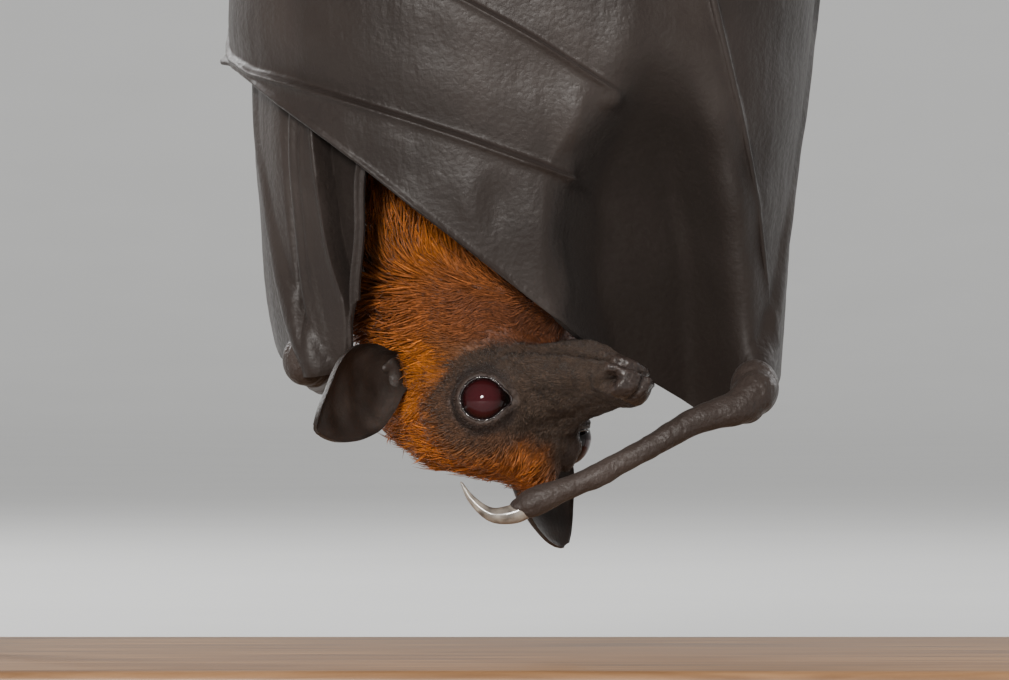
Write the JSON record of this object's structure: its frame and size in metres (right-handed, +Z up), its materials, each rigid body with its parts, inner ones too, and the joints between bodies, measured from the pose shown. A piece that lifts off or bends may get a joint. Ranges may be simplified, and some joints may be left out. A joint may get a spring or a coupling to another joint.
{
  "type": "fruit bat model",
  "caption": "Life-size still model of a roosting fruit bat, wings wrapped round its body, hanging head down from a branch on a stand.",
  "frame": {"origin": "centre of the underside of the stand's base", "axes": "+Z up, the bat's belly faces -Y, its right wing is at +X and the perch runs along X"},
  "size_m": [0.252, 0.164, 0.336],
  "materials": {
    "mantle_fur": "long soft orange brown fur of the neck, throat and cheeks",
    "face_fur": "short close fur, orange on the crown and grey brown on the face",
    "body_fur": "dense dark brown fur",
    "wing_skin": "thin dark grey brown skin with fine wrinkles and a satin sheen",
    "ear_skin": "thin bare dark skin",
    "eye": "wet and glossy, dark reddish brown",
    "claw": "polished grey brown horn",
    "bark": "rough dry bark",
    "base_wood": "oiled hardwood",
    "rod_steel": "brushed"
  },
  "bodies": {
    "root": {"stand_base": "base_wood", "stand_rod_left": "rod_steel", "stand_rod_right": "rod_steel", "perch": "bark", "head": "face_fur", "ear_left": "ear_skin", "ear_right": "ear_skin", "eye_left": "eye", "eye_right": "eye", "neck": "mantle_fur", "trunk": "body_fur", "leg_left": "body_fur", "leg_right": "body_fur", "foot_left": "wing_skin", "foot_right": "wing_skin", "claw_left_1": "claw", "claw_left_2": "claw", "claw_left_3": "claw", "claw_left_4": "claw", "claw_left_5": "claw", "claw_right_1": "claw", "claw_right_2": "claw", "claw_right_3": "claw", "claw_right_4": "claw", "claw_right_5": "claw", "upper_arm_left": "body_fur", "upper_arm_right": "body_fur", "forearm_left": "wing_skin", "forearm_right": "wing_skin", "arm_membrane_left": "wing_skin", "arm_membrane_right": "wing_skin", "fore_membrane_left": "wing_skin", "fore_membrane_right": "wing_skin", "hand_membrane_left": "wing_skin", "hand_membrane_right": "wing_skin", "thumb_left": "wing_skin", "thumb_right": "wing_skin", "thumb_claw_left": "claw", "thumb_claw_right": "claw"}
  },
  "joints": []
}
